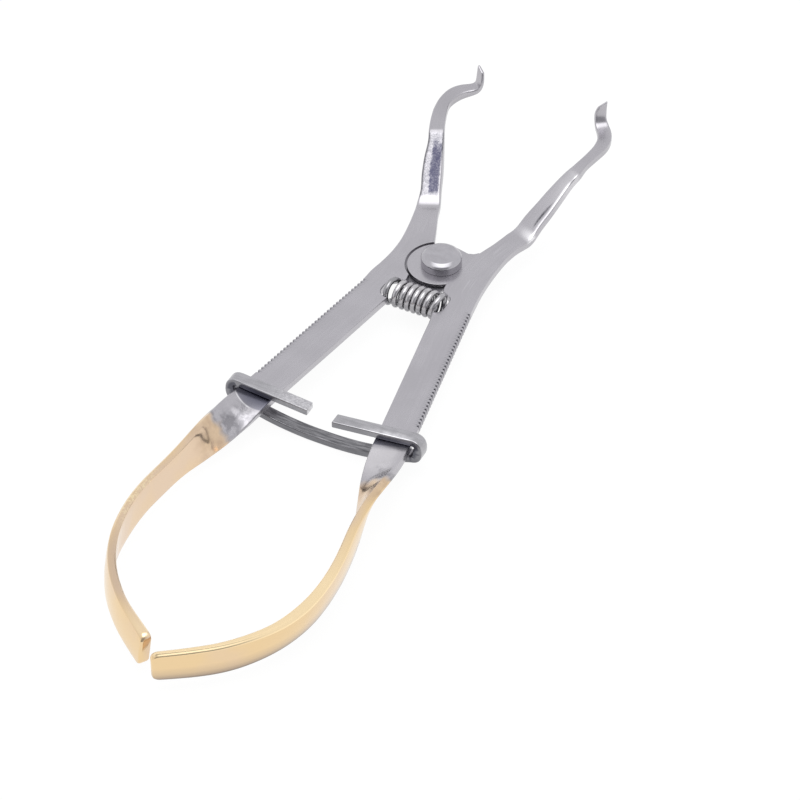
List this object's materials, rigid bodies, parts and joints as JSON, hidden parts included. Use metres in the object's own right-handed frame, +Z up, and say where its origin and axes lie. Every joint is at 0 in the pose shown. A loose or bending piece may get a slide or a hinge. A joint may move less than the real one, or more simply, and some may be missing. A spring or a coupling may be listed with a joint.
{
  "type": "sectional matrix forceps",
  "caption": "Dental spreading forceps: two lap-jointed steel arms with upturned jaw tips, a coil spring behind the rivet and an open sliding ring on the serrated edges.",
  "frame": {"origin": "centre of the bounding box in X and Y, on the plane the forceps stands on in Z", "axes": "+Y along the instrument towards the jaw tips, +Z up along the rivet axis, +X from the left arm to the right arm"},
  "size_m": [0.045, 0.1724, 0.0204],
  "materials": {
    "satin_steel": "satin stainless steel with bright bends; the two handle bows are plated pale gold from about 60 mm behind the pivot",
    "spring_steel": "bright drawn spring wire",
    "ring_steel": "bright bent bar"
  },
  "bodies": {
    "pivot": {"pivot_rivet": "satin_steel", "coil_spring": "spring_steel"},
    "right_arm": {"right_arm": "satin_steel"},
    "left_arm": {"left_arm": "satin_steel"},
    "ring": {"sliding_ring": "ring_steel"}
  },
  "joints": [
    {"name": "right_arm_hinge", "type": "hinge", "parent": "pivot", "child": "right_arm", "pos_m": [-0.00113, 0.03798, 0.00605], "axis": [0, 0, 1], "range_deg": [0, 9.6], "deforming": ["coil_spring"]},
    {"name": "left_arm_hinge", "type": "hinge", "parent": "pivot", "child": "left_arm", "pos_m": [-0.00113, 0.03798, 0.00605], "axis": [0, 0, -1], "range_deg": [0, 9.6]},
    {"name": "ring_slide", "type": "slide", "parent": "pivot", "child": "ring", "axis": [0, 1, 0], "range_m": [0, 0.0356]}
  ],
  "couplings": [
    {"joint": "left_arm_hinge", "follows": "right_arm_hinge", "ratio": 1},
    {"joint": "ring_slide", "follows": "right_arm_hinge", "m_per_rad": 0.21199}
  ]
}
